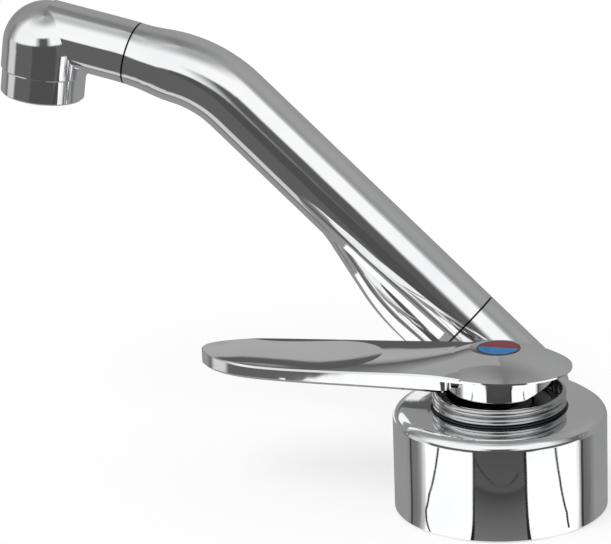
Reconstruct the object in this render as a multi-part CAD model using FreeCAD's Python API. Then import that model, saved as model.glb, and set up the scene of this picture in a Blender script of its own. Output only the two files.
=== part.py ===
import FreeCAD
import Part
import math
import os

from FreeCAD import Vector

# Single-lever mixer tap with a fold-down spout, in millimetres.
# The origin is on the worktop, on the axis of the round base. +Z is up, the closed lever
# points along -X, and the spout stands in a plane parallel to the lever, on the +Y side.

# Clearances
TURN_GAP = 0.06        # radial gap of a fit that turns
SEAT_GAP = 0.05        # radial gap of pieces pushed or screwed together
FACE_GAP = 0.1         # gap between flat faces that slide on each other
ARM_GAP = 0.75         # air between the base and the arm beside it
LOOSE_GAP = 0.3        # radial gap of pieces that only rest in place
JOIN = 0.5             # how far forms of one piece reach into each other

# Swivelling base shell
BASE_R = 30.0
BASE_H = 29.0
SHELL_WALL = 5.5
SHELL_TOP_T = 2.2
SHELL_EDGE_R = 1.2
SHELL_LIFT = 0.5       # height of the shell's lower edge over the worktop
LUG_R = 7.0            # hinge lug on the shell's far side
LUG_DEPTH = 7.0
LUG_RISE = 0.3         # how far the lug stands out of the shell

# Fixing through the worktop
GASKET_T = 1.0
GASKET_INSET = 0.7     # gasket's edge inside the shell's bore
WORKTOP_T = 20.0
SHANK_R = 16.5
SHANK_BORE_R = 12.0
SHANK_LENGTH = 46.0    # below the worktop's upper face
SHANK_GRIP = 3.0       # how far the shank reaches into the core
WASHER_W = 7.5
RUBBER_WASHER_T = 2.0
STEEL_WASHER_T = 2.0
NUT_T = 9.0
NUT_WALL = 4.0         # thinnest wall, at the middle of a flat
NUT_CHAMFER = 1.5

# Brass valve core
SLIDE_RING_T = 0.4
SLIDE_RING_INSET = 1.3 # bore of the lower slide ring, outside the collar's sleeve
CARTRIDGE_DEPTH = 21.0 # cartridge's floor under the shell's top
NECK_R = 16.2
NECK_RISE = 2.0        # neck's top over the shell's top
TRANSFER_DEPTH = 4.5   # ring channel that feeds the spout at any swivel angle
TRANSFER_H = 8.0
SEAL_LAND = 3.3        # core left above the ring channel, with the upper seal's groove
GALLERY_R = 1.8
GALLERY_PLUG_LENGTH = 2.5
TAIL_R = 11.15         # core's tail, screwed into the shank
TAIL_LENGTH = 12.0     # below the worktop's upper face
INLET_R = 4.5
INLET_ROOF_T = 2.2
INLET_X = -2.6
INLET_Y = 4.9
SEAL_GROOVE_D = 1.8
SEAL_SECTION_R = 0.85

# Chrome collar round the cartridge
COLLAR_R = 18.8
COLLAR_BORE_R = 17.7
COLLAR_SLEEVE_R = 17.6
COLLAR_TOP = BASE_H + 5.1
COLLAR_GROOVE = 0.35

# Ceramic cartridge, stacked from the core's floor upwards
CARTRIDGE_R = 13.6
CARTRIDGE_WALL = 1.2
PORT_R = 2.0
PORT_X = -4.6          # inlet ports, one on each side
PORT_Y = 3.9
OUTLET_PORT_X = 1.2
POCKET_R = 3.6         # under the moving disc, clear of the inlets when closed
PORT_SEAL_T = 1.0
PORT_SEAL_WALL = 1.1
CARTRIDGE_BASE_T = 3.5
PEG_R = 1.2
PEG_LENGTH = 2.5
DISC_T = 3.0
DISC_GAP = 0.02
MOVING_DISC_R = 9.0
CARRIER_T = 4.0
CARRIER_HALF_W = 7.0
ROTOR_LUG_T = 2.4
ROTOR_LUG_HALF_L = 5.0
ROTOR_FLANGE_T = 3.2
ROTOR_NECK_R = 9.0
HOUSING_ROOF_T = 1.5
CARTRIDGE_NUT_R = 14.6
CARTRIDGE_NUT_BORE_R = 9.8
CARTRIDGE_NUT_T = 2.2

# Spindle that tilts on a cross pin
PIVOT_Z = BASE_H
PIN_R = 1.0
SPINDLE_SIDE = 6.6
SPINDLE_SLOT_HALF_L = 4.7
SPINDLE_TOP = BASE_H + 10.0
BALL_R = 2.5
BALL_GAP = 0.08
BALL_NECK_R = 1.6
SCREW_R = 1.9
SCREW_LENGTH = 6.0
SCREW_HEAD_R = 3.4
SCREW_HEAD_T = 2.0

# Lever handle: an oval head with a round skirt under it, and a flat blade
HEAD_HALF_L = 20.6
HEAD_HALF_W = 16.8
HEAD_TOP = BASE_H + 17.1
HEAD_FLAT_HALF_L = 8.3
HEAD_BULGE = 0.63      # dome's height half way out, as a share of its rise
LIP_Z = BASE_H + 12.2
LIP_T = 0.5
LIP_SLOPE = 14.0       # degrees, underside of the head
SKIRT_R = 15.0
SKIRT_WALL = 1.8
SKIRT_BOTTOM = BASE_H + 4.1
HEAD_ROOF_Z = BASE_H + 10.9
REAR_CUT_X = 5.2       # where the skirt's relief for lifting starts
REAR_CUT_SLOPE = 24.0  # degrees
BOSS_R = 6.3
BOSS_BOTTOM = BASE_H + 4.9
LEVER_REACH = 87.5
BLADE_START = 3.0      # where the blade starts, inside the head
BLADE_START_HALF_W = 16.4
BLADE_ROOT = 10.5      # where the blade's lower half ends, beside the skirt
BLADE_ROOT_R = 2.4
BLADE_ROOT_HALF_W = 15.5
BLADE_MIDDLE = 38.0
BLADE_MIDDLE_HALF_W = 14.2
BLADE_TIP = 65.0       # where the sides start to close towards the tip
BLADE_TIP_HALF_W = 13.1
TIP_SHOULDER_L = 7.5
TIP_SHOULDER_HALF_W = 8.9
BLADE_ROOT_UNDER = BASE_H + 8.2
BLADE_TIP_UNDER = BASE_H + 6.9
BLADE_NECK_UNDER = LIP_Z - 0.7
BLADE_EDGE = 0.45      # bevels along the blade's edges
BLADE_UNDER_EDGE = 0.9
DISH_DEPTH = 0.8       # thumb rest
DISH_HALF_W = 10.0
DISH_FROM = 41.0
DISH_RIM = 3.0         # blade left between the thumb rest and the tip

# Top of the blade at even steps from its start to past its tip: height at the sides, along the middle
BLADE_TOP = [
    (BASE_H + 12.20, BASE_H + 16.60),
    (BASE_H + 12.75, BASE_H + 15.30),
    (BASE_H + 12.50, BASE_H + 13.40),
    (BASE_H + 12.00, BASE_H + 12.45),
    (BASE_H + 11.55, BASE_H + 11.85),
    (BASE_H + 11.20, BASE_H + 11.40),
    (BASE_H + 11.35, BASE_H + 11.50),
    (BASE_H + 12.00, BASE_H + 12.10),
]
BLADE_PAST_TIP = 3.0
DISH_LEVEL = BASE_H + 11.3

# Red and blue mark
MARK_R = 6.1
MARK_T = 0.9
MARK_RIM = 0.45
MARK_RISE = 0.15
PLUG_DEPTH = 1.4

# Hinge of the spout
HINGE_Z = BASE_H - 8.6
SPIGOT_R = 5.0
SPIGOT_BORE_R = 2.8
SPIGOT_WEB = 1.2       # shell left between the spigot's end and the shell's bore
FEED_R = 2.4           # water hole from the ring channel to the spigot
HUB_R = 7.5
HINGE_SEAL_SECTION_R = 0.5
HINGE_SEAL_INSET = 3.4
HINGE_WASHER_T = 0.3
CHAMBER_R = 6.8
CHAMBER_HALF_W = 2.6
CROSS_PORT_R = 1.7
CAP_R = 6.8
CAP_T = 1.8
CAP_STEM_R = 1.9
CAP_STEM_LENGTH = 5.0
CAP_SOCKET_HALF = 2.0  # half of the hexagon socket across flats
CAP_BEVEL = 0.72
CAP_SOCKET_DEPTH = 1.26

# Spout, measured along its arm from the hinge
TUBE_R = 10.45
TUBE_BORE_R = 7.4
ARM_RISE = 43.0        # degrees above the worktop
LAST_RISE = 15.0
SEAM_AT = 27.1
CORNER_AT = 130.5
BEND_R = 38.0
LAST_LENGTH = 25.3
END_R = 9.35
END_STRAIGHT = 1.0
TENON_LENGTH = 7.0
TENON_WALL = 1.3
SEAM_CHAMFER = 0.2
SEAM_SEAL_SECTION_R = 0.6
KEEL_R = 8.2
KEEL_DROP = 9.3        # keel's axis under the tube's axis
KEEL_FLAT = 20.1       # length of the full keel above the seam
KEEL_EASE = 28.5       # length over which it sinks into the tube
KEEL_EASE_R = 52.0
KEEL_SINK = 0.3        # how deep the keel's end lies inside the tube
KEEL_FOOT = 11.0       # length of the keel below the seam

# Outlet elbow and aerator
OUTLET_R = 13.05
OUTLET_REACH = 27.3
OUTLET_DROP = 4.1      # ball's centre under the elbow tube's axis
ELBOW_RISE = 12.5
ELBOW_BEND_AT = 3.0    # from the upper seam
ELBOW_BEND_R = 20.0
NOZZLE_LEAN = 8.8      # degrees outwards from straight down
NOZZLE_LENGTH = 7.6
NOZZLE_BORE_R = 11.2
NOZZLE_FLOOR = 1.0     # how far the nozzle's bore reaches above the ball's centre
RING_R = 12.55
RING_LENGTH = 7.9
RING_BORE_R = 9.8
RING_THREAD_LENGTH = 5.5
RING_BEVEL = 0.5
AERATOR_WASHER_T = 1.2
SCREEN_T = 2.2
SCREEN_RECESS = 0.9
SCREEN_HOLE_R = 0.85
SCREEN_RINGS = 3
SCREEN_RIM = 1.0

# Levels worked out from the sizes above
SHELL_BORE_R = BASE_R - SHELL_WALL
GASKET_R = SHELL_BORE_R - GASKET_INSET
WASHER_R = SHANK_R + WASHER_W
NUT_ACROSS = 2 * (SHANK_R + NUT_WALL)
SHELL_CEILING = BASE_H - SHELL_TOP_T
CORE_R = SHELL_BORE_R - TURN_GAP
CORE_TOP = SHELL_CEILING - FACE_GAP - SLIDE_RING_T
NECK_TOP = BASE_H + NECK_RISE
FLOOR_Z = BASE_H - CARTRIDGE_DEPTH
GALLERY_Z = FLOOR_Z - GALLERY_R - 0.2
CARTRIDGE_BASE_Z = FLOOR_Z + PORT_SEAL_T
FIXED_DISC_Z = CARTRIDGE_BASE_Z + CARTRIDGE_BASE_T
MOVING_DISC_Z = FIXED_DISC_Z + DISC_T + DISC_GAP
CARRIER_Z = MOVING_DISC_Z + DISC_T
CARRIER_TOP = CARRIER_Z + CARRIER_T
BALL_Z = CARRIER_TOP - BALL_R * 0.6
HOUSING_BORE_R = CARTRIDGE_R - CARTRIDGE_WALL
ROTOR_R = HOUSING_BORE_R - TURN_GAP
ROTOR_Z = CARRIER_TOP + 1.2
ROTOR_SHOULDER = ROTOR_Z + ROTOR_FLANGE_T
ROTOR_TOP = PIVOT_Z + PIN_R + 1.0
HOUSING_ROOF_Z = ROTOR_SHOULDER + FACE_GAP
HOUSING_TOP = HOUSING_ROOF_Z + HOUSING_ROOF_T
COLLAR_FOOT = BASE_H + FACE_GAP + SLIDE_RING_T
TRANSFER_Z = CORE_TOP - SEAL_LAND - TRANSFER_H
ARM_Y = BASE_R + ARM_GAP + TUBE_R
LUG_FACE_Y = BASE_R + LUG_RISE
SPIGOT_START_Y = SHELL_BORE_R + SPIGOT_WEB
HUB_NEAR_Y = LUG_FACE_Y + HINGE_WASHER_T + FACE_GAP
HUB_FAR_Y = 2 * ARM_Y - HUB_NEAR_Y
HINGE = Vector(0, ARM_Y, HINGE_Z)
UP = Vector(0, 0, 1)
ACROSS = Vector(0, 1, 0)
OUTWARD = Vector(1, 0, 0)


def direction(rise):
    """Unit vector in the arm's plane, pointing outwards and up by rise degrees."""
    angle = math.radians(rise)
    return Vector(-math.cos(angle), 0, math.sin(angle))


def below(rise):
    """Unit vector at right angles to direction(rise), on its lower side."""
    angle = math.radians(rise)
    return Vector(-math.sin(angle), 0, -math.cos(angle))


def cylinder(radius, start, axis, length):
    return Part.makeCylinder(radius, length, start, axis)


def disc(radius, low, high):
    return Part.makeCylinder(radius, high - low, Vector(0, 0, low), UP)


def ring(outer, inner, low, high):
    return disc(outer, low, high).cut(disc(inner, low, high))


def box(low_x, high_x, low_y, high_y, low_z, high_z):
    size = (high_x - low_x, high_y - low_y, high_z - low_z)
    return Part.makeBox(*size, Vector(low_x, low_y, low_z))


def seal_ring(centre, axis, radius, section_r):
    return Part.makeTorus(radius, section_r, centre, axis)


def revolve_profile(points):
    """Solid of revolution about Z from (radius, height) corners."""
    corners = [Vector(r, 0, z) for r, z in points]
    face = Part.Face(Part.makePolygon(corners + corners[:1]))
    return face.revolve(Vector(0, 0, 0), UP, 360)


def round_bar(points, bend_r, radius):
    """Round bar along straight runs joined by tangent bends of one radius."""
    body = None
    start = points[0]
    for before, corner, after in zip(points, points[1:], points[2:]):
        leave = (corner - before).normalize()
        enter = (after - corner).normalize()
        turn = leave.getAngle(enter)
        reach = bend_r * math.tan(turn / 2)
        bend_start = corner - leave * reach
        normal = leave.cross(enter).normalize()
        centre = bend_start + normal.cross(leave) * bend_r
        disc_edge = Part.makeCircle(radius, bend_start, leave)
        disc_face = Part.Face(Part.Wire(disc_edge))
        bend = disc_face.revolve(centre, normal, math.degrees(turn))
        run = cylinder(radius, start, leave, (bend_start - start).Length)
        pieces = [run, bend]
        body = body.multiFuse(pieces) if body else run.fuse(bend)
        start = corner + enter * reach
    last = points[-1] - start
    return body.fuse(cylinder(radius, start, last, last.Length))


def round_ended_bar(radius, centre, axis, length):
    """Bar along axis that starts with a half ball round centre."""
    ball = Part.Arc(
        Vector(0, 0, -radius),
        Vector(radius, 0, -radius) * math.sqrt(0.5),
        Vector(radius, 0, 0),
    ).toShape()
    corners = [Vector(radius, 0, 0), Vector(radius, 0, length), Vector(0, 0, length), Vector(0, 0, -radius)]
    edges = [Part.makeLine(a, b) for a, b in zip(corners, corners[1:])]
    body = Part.Face(Part.Wire([ball] + edges)).revolve(Vector(0, 0, 0), UP, 360)
    body.Placement = FreeCAD.Placement(centre, FreeCAD.Rotation(UP, axis))
    return body


def fillet_edges(shape, radius, wanted):
    edges = [edge for edge in shape.Edges if wanted(edge)]
    return shape.makeFillet(radius, edges)


def is_circle(edge, radius, height):
    """True for a level circle of this radius at this height."""
    curve = edge.Curve
    if not isinstance(curve, Part.Circle):
        return False
    same_size = abs(curve.Radius - radius) < 0.001
    return same_size and abs(curve.Center.z - height) < 0.001


# Fixing set, fixed to the worktop

def base_gasket():
    return ring(GASKET_R, SHANK_R + SEAT_GAP, 0, GASKET_T)


def threaded_shank():
    body = ring(SHANK_R, TAIL_R + SEAT_GAP, -SHANK_LENGTH, GASKET_T + SHANK_GRIP)
    return body.cut(disc(SHANK_BORE_R, -SHANK_LENGTH, -TAIL_LENGTH))


def rubber_washer():
    return ring(WASHER_R, SHANK_R + SEAT_GAP, -WORKTOP_T - RUBBER_WASHER_T, -WORKTOP_T)


def steel_washer():
    top = -WORKTOP_T - RUBBER_WASHER_T
    return ring(WASHER_R, SHANK_R + SEAT_GAP, top - STEEL_WASHER_T, top)


def fixing_nut():
    top = -WORKTOP_T - RUBBER_WASHER_T - STEEL_WASHER_T
    corner_r = NUT_ACROSS / math.sqrt(3)
    corners = []
    for index in range(7):
        angle = math.radians(60 * index)
        corners.append(Vector(corner_r * math.cos(angle), corner_r * math.sin(angle), top - NUT_T))
    body = Part.Face(Part.makePolygon(corners)).extrude(Vector(0, 0, NUT_T))
    chamfer_r = NUT_ACROSS / 2 - 0.2
    rounded = revolve_profile([
        (0, top - NUT_T),
        (chamfer_r, top - NUT_T),
        (chamfer_r + 2 * NUT_CHAMFER, top - NUT_T + NUT_CHAMFER),
        (chamfer_r + 2 * NUT_CHAMFER, top - NUT_CHAMFER),
        (chamfer_r, top),
        (0, top),
    ])
    return body.common(rounded).cut(disc(SHANK_R + SEAT_GAP, top - NUT_T, top))


# Valve core

def port_places():
    """Hot inlet, cold inlet and mixed outlet."""
    return [
        Vector(PORT_X, PORT_Y, 0),
        Vector(PORT_X, -PORT_Y, 0),
        Vector(OUTLET_PORT_X, 0, 0),
    ]


def peg_places():
    reach = CARTRIDGE_R - 3.0
    return [Vector(reach * 0.8, side * reach * 0.6, 0) for side in (1, -1)]


def core_seal_levels():
    """Centres of the two seals, above and below the ring channel."""
    margin = SEAL_GROOVE_D / 2 + 0.8
    return [TRANSFER_Z - margin, TRANSFER_Z + TRANSFER_H + margin]


def valve_core():
    body = disc(CORE_R, GASKET_T, CORE_TOP).fuse(disc(NECK_R, CORE_TOP, NECK_TOP))
    body = body.cut(disc(SHANK_R + SEAT_GAP, GASKET_T, GASKET_T + SHANK_GRIP))
    body = body.fuse(disc(TAIL_R, -TAIL_LENGTH, FLOOR_Z - 1))
    body = body.cut(disc(CARTRIDGE_R + SEAT_GAP, FLOOR_Z, NECK_TOP))
    body = body.cut(disc(CARTRIDGE_NUT_R + SEAT_GAP, HOUSING_TOP - 0.2, NECK_TOP))
    channel_inner = CORE_R - TRANSFER_DEPTH
    body = body.cut(ring(CORE_R + 1, channel_inner, TRANSFER_Z, TRANSFER_Z + TRANSFER_H))
    for level in core_seal_levels():
        half = SEAL_GROOVE_D / 2
        body = body.cut(ring(CORE_R + 1, CORE_R - SEAL_GROOVE_D, level - half, level + half))
    hot, cold, outlet = port_places()
    for port, side in ((hot, 1), (cold, -1)):
        inlet = Vector(INLET_X, side * INLET_Y, -TAIL_LENGTH)
        inlet_depth = TAIL_LENGTH + FLOOR_Z - INLET_ROOF_T
        body = body.cut(cylinder(INLET_R, inlet, UP, inlet_depth))
        body = body.cut(cylinder(PORT_R, port + UP * (FLOOR_Z - INLET_ROOF_T), UP, INLET_ROOF_T))
    body = body.cut(cylinder(PORT_R, outlet + UP * GALLERY_Z, UP, FLOOR_Z - GALLERY_Z))
    body = body.cut(cylinder(GALLERY_R, outlet + UP * GALLERY_Z, OUTWARD, CORE_R))
    riser = Vector(channel_inner, 0, GALLERY_Z)
    body = body.cut(cylinder(GALLERY_R, riser, UP, TRANSFER_Z + 2 - GALLERY_Z))
    for place in peg_places():
        body = body.cut(cylinder(PEG_R + SEAT_GAP, place + UP * (FLOOR_Z - PEG_LENGTH), UP, PEG_LENGTH))
    return body


def gallery_plug():
    start = Vector(CORE_R - LOOSE_GAP - GALLERY_PLUG_LENGTH, 0, GALLERY_Z)
    return cylinder(GALLERY_R, start, OUTWARD, GALLERY_PLUG_LENGTH)


def core_seals():
    radius = CORE_R - SEAL_SECTION_R - 0.03
    rings = [seal_ring(UP * level, UP, radius, SEAL_SECTION_R) for level in core_seal_levels()]
    return Part.makeCompound(rings)


def lower_slide_ring():
    inner = COLLAR_SLEEVE_R + SLIDE_RING_INSET
    return ring(CORE_R - LOOSE_GAP, inner, CORE_TOP, CORE_TOP + SLIDE_RING_T)


def upper_slide_ring():
    inner = COLLAR_SLEEVE_R + 2 * SEAT_GAP
    low = COLLAR_FOOT - SLIDE_RING_T
    return ring(COLLAR_R - LOOSE_GAP, inner, low, COLLAR_FOOT)


def collar():
    """Ring that screws on the neck and holds the shell down."""
    thread_r = NECK_R + SEAT_GAP
    sleeve_low = CORE_TOP + FACE_GAP
    groove_z = (COLLAR_FOOT + COLLAR_TOP) / 2
    edge = 0.5
    return revolve_profile([
        (thread_r, sleeve_low),
        (COLLAR_SLEEVE_R, sleeve_low),
        (COLLAR_SLEEVE_R, COLLAR_FOOT),
        (COLLAR_R - edge, COLLAR_FOOT),
        (COLLAR_R, COLLAR_FOOT + edge),
        (COLLAR_R, groove_z - COLLAR_GROOVE),
        (COLLAR_R - COLLAR_GROOVE, groove_z),
        (COLLAR_R, groove_z + COLLAR_GROOVE),
        (COLLAR_R, COLLAR_TOP - edge),
        (COLLAR_R - edge, COLLAR_TOP),
        (COLLAR_BORE_R, COLLAR_TOP),
        (COLLAR_BORE_R, NECK_TOP),
        (thread_r, NECK_TOP),
    ])


# Cartridge

def port_seals():
    rings = []
    for place in port_places():
        low = place + UP * FLOOR_Z
        outer = cylinder(PORT_R + PORT_SEAL_WALL, low, UP, PORT_SEAL_T)
        rings.append(outer.cut(cylinder(PORT_R, low, UP, PORT_SEAL_T)))
    return Part.makeCompound(rings)


def cartridge_base():
    radius = HOUSING_BORE_R - SEAT_GAP
    body = disc(radius, CARTRIDGE_BASE_Z, FIXED_DISC_Z)
    for place in peg_places():
        low = FLOOR_Z - PEG_LENGTH + 0.2
        body = body.fuse(cylinder(PEG_R, place + UP * low, UP, CARTRIDGE_BASE_Z + 1 - low))
    for place in port_places():
        body = body.cut(cylinder(PORT_R, place + UP * CARTRIDGE_BASE_Z, UP, CARTRIDGE_BASE_T))
    return body


def cartridge_housing():
    body = ring(CARTRIDGE_R, HOUSING_BORE_R, CARTRIDGE_BASE_Z, HOUSING_TOP)
    return body.fuse(ring(CARTRIDGE_R, ROTOR_NECK_R + TURN_GAP, HOUSING_ROOF_Z, HOUSING_TOP))


def fixed_ceramic_disc():
    body = disc(HOUSING_BORE_R - LOOSE_GAP, FIXED_DISC_Z, FIXED_DISC_Z + DISC_T)
    for place in port_places():
        body = body.cut(cylinder(PORT_R, place + UP * FIXED_DISC_Z, UP, DISC_T))
    return body


def cartridge_nut():
    low = HOUSING_TOP
    return ring(CARTRIDGE_NUT_R, CARTRIDGE_NUT_BORE_R, low, low + CARTRIDGE_NUT_T)


def moving_ceramic_disc():
    body = disc(MOVING_DISC_R, MOVING_DISC_Z, CARRIER_Z)
    return body.cut(disc(POCKET_R, MOVING_DISC_Z, MOVING_DISC_Z + DISC_T / 2))


def disc_carrier():
    """Slides with the moving disc; its hole holds the spindle's ball."""
    body = disc(MOVING_DISC_R, CARRIER_Z, CARRIER_TOP)
    reach = MOVING_DISC_R + 1
    body = body.common(box(-reach, reach, -CARRIER_HALF_W, CARRIER_HALF_W, CARRIER_Z, CARRIER_TOP))
    hole_r = BALL_R + BALL_GAP
    body = body.cut(disc(hole_r, BALL_Z - BALL_R - LOOSE_GAP, CARRIER_TOP))
    flare = CARRIER_TOP - BALL_Z - 0.6
    return body.cut(Part.makeCone(hole_r, hole_r + flare, flare, UP * (CARRIER_TOP - flare), UP))


def rotor():
    body = disc(ROTOR_R, ROTOR_Z, ROTOR_SHOULDER)
    body = body.fuse(disc(ROTOR_NECK_R, ROTOR_SHOULDER, ROTOR_TOP))
    inner = CARRIER_HALF_W + TURN_GAP
    for side in (1, -1):
        near, far = sorted((side * inner, side * (inner + ROTOR_LUG_T)))
        length = ROTOR_LUG_HALF_L
        body = body.fuse(box(-length, length, near, far, CARRIER_Z + 0.5, ROTOR_Z + 1))
    half_w = SPINDLE_SIDE / 2 + SEAT_GAP
    length = SPINDLE_SLOT_HALF_L
    body = body.cut(box(-length, length, -half_w, half_w, ROTOR_Z, ROTOR_TOP))
    pin_start = Vector(0, -ROTOR_NECK_R - 1, PIVOT_Z)
    return body.cut(cylinder(PIN_R + 0.02, pin_start, ACROSS, 2 * ROTOR_NECK_R + 2))


def pivot_pin():
    reach = ROTOR_NECK_R - 0.6
    return cylinder(PIN_R, Vector(0, -reach, PIVOT_Z), ACROSS, 2 * reach)


# Lever

def spindle():
    half = SPINDLE_SIDE / 2
    block_z = ROTOR_Z + 0.8
    body = box(-half, half, -half, half, block_z, SPINDLE_TOP)
    neck = Part.makeCone(BALL_NECK_R, half * 0.85, block_z - BALL_Z, UP * BALL_Z, UP)
    body = body.fuse(neck).fuse(Part.makeSphere(BALL_R, UP * BALL_Z))
    pin_start = Vector(0, -half - 1, PIVOT_Z)
    body = body.cut(cylinder(PIN_R + TURN_GAP, pin_start, ACROSS, SPINDLE_SIDE + 2))
    return body.cut(disc(SCREW_R + SEAT_GAP, SPINDLE_TOP - SCREW_LENGTH, SPINDLE_TOP))


def lever_head():
    """Oval head: a shallow dome with a flat for the mark, over a sloping underside."""
    rim_top = Vector(HEAD_HALF_L, 0, LIP_Z + LIP_T / 2)
    rim_foot = Vector(HEAD_HALF_L, 0, LIP_Z - LIP_T / 2)
    flat = Vector(HEAD_FLAT_HALF_L, 0, HEAD_TOP)
    crown = Vector((HEAD_HALF_L + HEAD_FLAT_HALF_L) / 2, 0, LIP_Z + (HEAD_TOP - LIP_Z) * HEAD_BULGE)
    under_r = SKIRT_R - SKIRT_WALL
    under_z = LIP_Z - (HEAD_HALF_L - under_r) * math.tan(math.radians(LIP_SLOPE))
    dome = Part.Arc(rim_top, crown, flat).toShape()
    axis = [Vector(0, 0, HEAD_TOP), Vector(0, 0, under_z)]
    corners = [flat] + axis + [Vector(under_r, 0, under_z), rim_foot, rim_top]
    edges = [Part.makeLine(a, b) for a, b in zip(corners, corners[1:])]
    body = Part.Face(Part.Wire([dome] + edges)).revolve(Vector(0, 0, 0), UP, 360)
    squeeze = FreeCAD.Matrix()
    squeeze.scale(1, HEAD_HALF_W / HEAD_HALF_L, 1)
    return body.transformGeometry(squeeze)


def blade_section(number):
    """Cross-section for the blade's slightly arched top, wider than the blade."""
    side_z, middle_z = BLADE_TOP[number]
    step = (LEVER_REACH + BLADE_PAST_TIP - BLADE_START) / (len(BLADE_TOP) - 1)
    reach = BLADE_START + number * step
    half = HEAD_HALF_W + 1
    arch = (middle_z - side_z) * (half / blade_half_width(reach)) ** 2
    low = BLADE_TIP_UNDER - 5
    left = Vector(-reach, -half, middle_z - arch)
    right = Vector(-reach, half, middle_z - arch)
    top = Part.Arc(left, Vector(-reach, 0, middle_z), right).toShape()
    corners = [right, Vector(-reach, half, low), Vector(-reach, -half, low), left]
    edges = [Part.makeLine(a, b) for a, b in zip(corners, corners[1:])]
    return Part.Wire([top] + edges)


def blade_half_width(reach):
    """Half the blade's width at a distance from the head's middle."""
    places = [
        (BLADE_START, BLADE_START_HALF_W),
        (BLADE_ROOT, BLADE_ROOT_HALF_W),
        (BLADE_MIDDLE, BLADE_MIDDLE_HALF_W),
        (BLADE_TIP, BLADE_TIP_HALF_W),
    ]
    for (near, wide), (far, narrow) in zip(places, places[1:]):
        if reach <= far:
            return wide + (narrow - wide) * (reach - near) / (far - near)
    return BLADE_TIP_HALF_W


def blade_plan():
    """Outline of the blade seen from above, one smooth curve around the tip."""
    side = [
        Vector(-BLADE_START, BLADE_START_HALF_W, 0),
        Vector(-BLADE_ROOT, BLADE_ROOT_HALF_W, 0),
        Vector(-BLADE_MIDDLE, BLADE_MIDDLE_HALF_W, 0),
        Vector(-BLADE_TIP, BLADE_TIP_HALF_W, 0),
        Vector(-LEVER_REACH + TIP_SHOULDER_L, TIP_SHOULDER_HALF_W, 0),
    ]
    other_side = [Vector(point.x, -point.y, 0) for point in reversed(side)]
    curve = Part.BSplineCurve()
    curve.interpolate(side + [Vector(-LEVER_REACH, 0, 0)] + other_side)
    return Part.Face(Part.Wire([curve.toShape(), Part.makeLine(other_side[-1], side[0])]))


def blade_under():
    """Everything above the blade's sloping underside."""
    past = BLADE_PAST_TIP
    far = LEVER_REACH + past
    slope = (BLADE_ROOT_UNDER - BLADE_TIP_UNDER) / LEVER_REACH
    corners = [
        Vector(past, -far, BLADE_ROOT_UNDER + past * slope),
        Vector(-far, -far, BLADE_TIP_UNDER - past * slope),
        Vector(-far, -far, HEAD_TOP + past),
        Vector(past, -far, HEAD_TOP + past),
    ]
    return Part.Face(Part.makePolygon(corners + corners[:1])).extrude(Vector(0, 2 * far, 0))


def is_root_corner(edge):
    """Upright corners where the blade's lower half ends beside the skirt."""
    bounds = edge.BoundBox
    return bounds.XLength < 0.1 and bounds.YLength < 0.1 and bounds.ZLength > 1


def is_under_edge(edge):
    bounds = edge.BoundBox
    return bounds.ZMax < BLADE_ROOT_UNDER + 0.01 and bounds.XLength > LEVER_REACH / 2


def is_top_edge(edge):
    bounds = edge.BoundBox
    return bounds.XMin < -BLADE_ROOT and bounds.ZMin > LIP_Z - 1.5 and bounds.ZMax > LIP_Z


def lever_blade():
    """Blade with rounded edges, thinner where it runs over the skirt into the head."""
    top = Part.makeLoft([blade_section(number) for number in range(len(BLADE_TOP))], True)
    low = BLADE_TIP_UNDER - 1
    plan = blade_plan()
    plan.translate(UP * low)
    body = plan.extrude(UP * (HEAD_TOP + 1 - low)).common(blade_under()).common(top)
    body = body.cut(box(-BLADE_ROOT, 0, -HEAD_HALF_L, HEAD_HALF_L, low, BLADE_NECK_UNDER))
    body = fillet_edges(body, BLADE_ROOT_R, is_root_corner)
    body = body.makeChamfer(BLADE_UNDER_EDGE, [edge for edge in body.Edges if is_under_edge(edge)])
    return body.makeChamfer(BLADE_EDGE, [edge for edge in body.Edges if is_top_edge(edge)])


def thumb_rest():
    """Shallow round-ended hollow in the blade's top: a very blunt bar that just dips into it."""
    radius = (DISH_HALF_W ** 2 + DISH_DEPTH ** 2) / (2 * DISH_DEPTH)
    level = DISH_LEVEL + radius - DISH_DEPTH
    near = Vector(-DISH_FROM - DISH_HALF_W, 0, level)
    far = Vector(-LEVER_REACH + DISH_RIM + DISH_HALF_W, 0, level)
    body = cylinder(radius, far, OUTWARD, near.x - far.x)
    return body.fuse(Part.makeSphere(radius, near)).fuse(Part.makeSphere(radius, far))


def rear_relief():
    """Wedge under the head that lets the lever's tip rise."""
    slope = math.tan(math.radians(REAR_CUT_SLOPE))
    far = HEAD_HALF_L + 5
    low = SKIRT_BOTTOM - 1
    corners = [
        Vector(REAR_CUT_X - 1 / slope, -far, low),
        Vector(far, -far, low),
        Vector(far, -far, SKIRT_BOTTOM + (far - REAR_CUT_X) * slope),
    ]
    wedge = Part.Face(Part.makePolygon(corners + corners[:1])).extrude(Vector(0, 2 * far, 0))
    return wedge.common(disc(SKIRT_R + 0.01, low, LIP_Z))


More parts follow.
